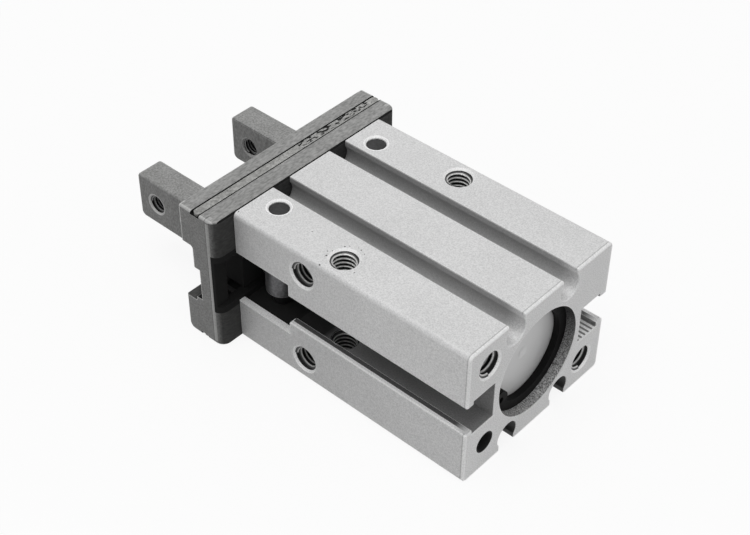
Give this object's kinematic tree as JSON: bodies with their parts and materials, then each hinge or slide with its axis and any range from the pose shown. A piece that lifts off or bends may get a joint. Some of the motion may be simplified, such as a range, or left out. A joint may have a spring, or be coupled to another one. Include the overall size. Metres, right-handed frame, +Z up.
{
  "type": "pneumatic parallel gripper",
  "caption": "Air-driven gripper: a slotted aluminium cylinder body, a steel guide plate across its front and parallel fingers opened by bell-crank levers.",
  "frame": {"origin": "centre of the rear mounting face, on the cylinder's axis", "axes": "+X forward to the fingertips, +Y the way the left finger opens, +Z up from the wide top face"},
  "size_m": [0.0673, 0.038, 0.0236],
  "materials": {
    "body": "satin anodised, fine blasted grain",
    "guide": "fine ground stainless steel",
    "strip": "rough sealed strip",
    "finger": "fine ground stainless steel",
    "hardened": "dark hardened steel, satin",
    "fastener": "dark steel, satin",
    "rod": "hard chromed, polished",
    "cap": "turned, clear anodised",
    "ring": "black phosphated spring steel",
    "magnet": "bonded magnet, matt",
    "seal": "black nitrile rubber"
  },
  "bodies": {
    "root": {"body": "body", "guide": "guide", "guide_strips": "strip", "guide_screws": "fastener", "roller_stoppers": "strip", "lever_shaft_left": "hardened", "lever_shaft_right": "hardened", "bumper": "seal", "rod_cover": "cap", "rod_cover_ring": "seal", "rod_seal": "seal", "end_cap": "cap", "end_cap_ring": "seal", "retaining_ring": "ring"},
    "piston": {"piston": "cap", "piston_seal": "seal", "piston_magnet": "magnet", "piston_rod": "rod", "joint": "hardened", "joint_bolt": "fastener"},
    "finger_left": {"finger_left": "finger"},
    "finger_right": {"finger_right": "finger"},
    "lever_left": {"lever_left": "hardened"},
    "lever_right": {"lever_right": "hardened"},
    "rollers_left": {"rollers_left": "hardened"},
    "rollers_right": {"rollers_right": "hardened"}
  },
  "joints": [
    {"name": "piston_slide", "type": "slide", "parent": "root", "child": "piston", "axis": [1, 0, 0], "range_m": [0, 0.00274]},
    {"name": "finger_left_slide", "type": "slide", "parent": "root", "child": "finger_left", "axis": [0, 1, 0], "range_m": [0, 0.003]},
    {"name": "finger_right_slide", "type": "slide", "parent": "root", "child": "finger_right", "axis": [0, -1, 0], "range_m": [0, 0.003]},
    {"name": "lever_left_hinge", "type": "hinge", "parent": "root", "child": "lever_left", "pos_m": [0.0386, 0.0101, 0], "axis": [0, 0, 1], "range_deg": [0, 25.49]},
    {"name": "lever_right_hinge", "type": "hinge", "parent": "root", "child": "lever_right", "pos_m": [0.0386, -0.0101, 0], "axis": [0, 0, -1], "range_deg": [0, 25.49]},
    {"name": "rollers_left_slide", "type": "slide", "parent": "root", "child": "rollers_left", "axis": [0, 1, 0], "range_m": [0, 0.0015]},
    {"name": "rollers_right_slide", "type": "slide", "parent": "root", "child": "rollers_right", "axis": [0, -1, 0], "range_m": [0, 0.0015]}
  ],
  "couplings": [
    {"joint": "finger_left_slide", "follows": "piston_slide", "ratio": 1.0968},
    {"joint": "finger_right_slide", "follows": "piston_slide", "ratio": 1.0968},
    {"joint": "lever_left_hinge", "follows": "piston_slide", "rad_per_m": 162.6},
    {"joint": "lever_right_hinge", "follows": "piston_slide", "rad_per_m": 162.6},
    {"joint": "rollers_left_slide", "follows": "piston_slide", "ratio": 0.5484},
    {"joint": "rollers_right_slide", "follows": "piston_slide", "ratio": 0.5484}
  ]
}
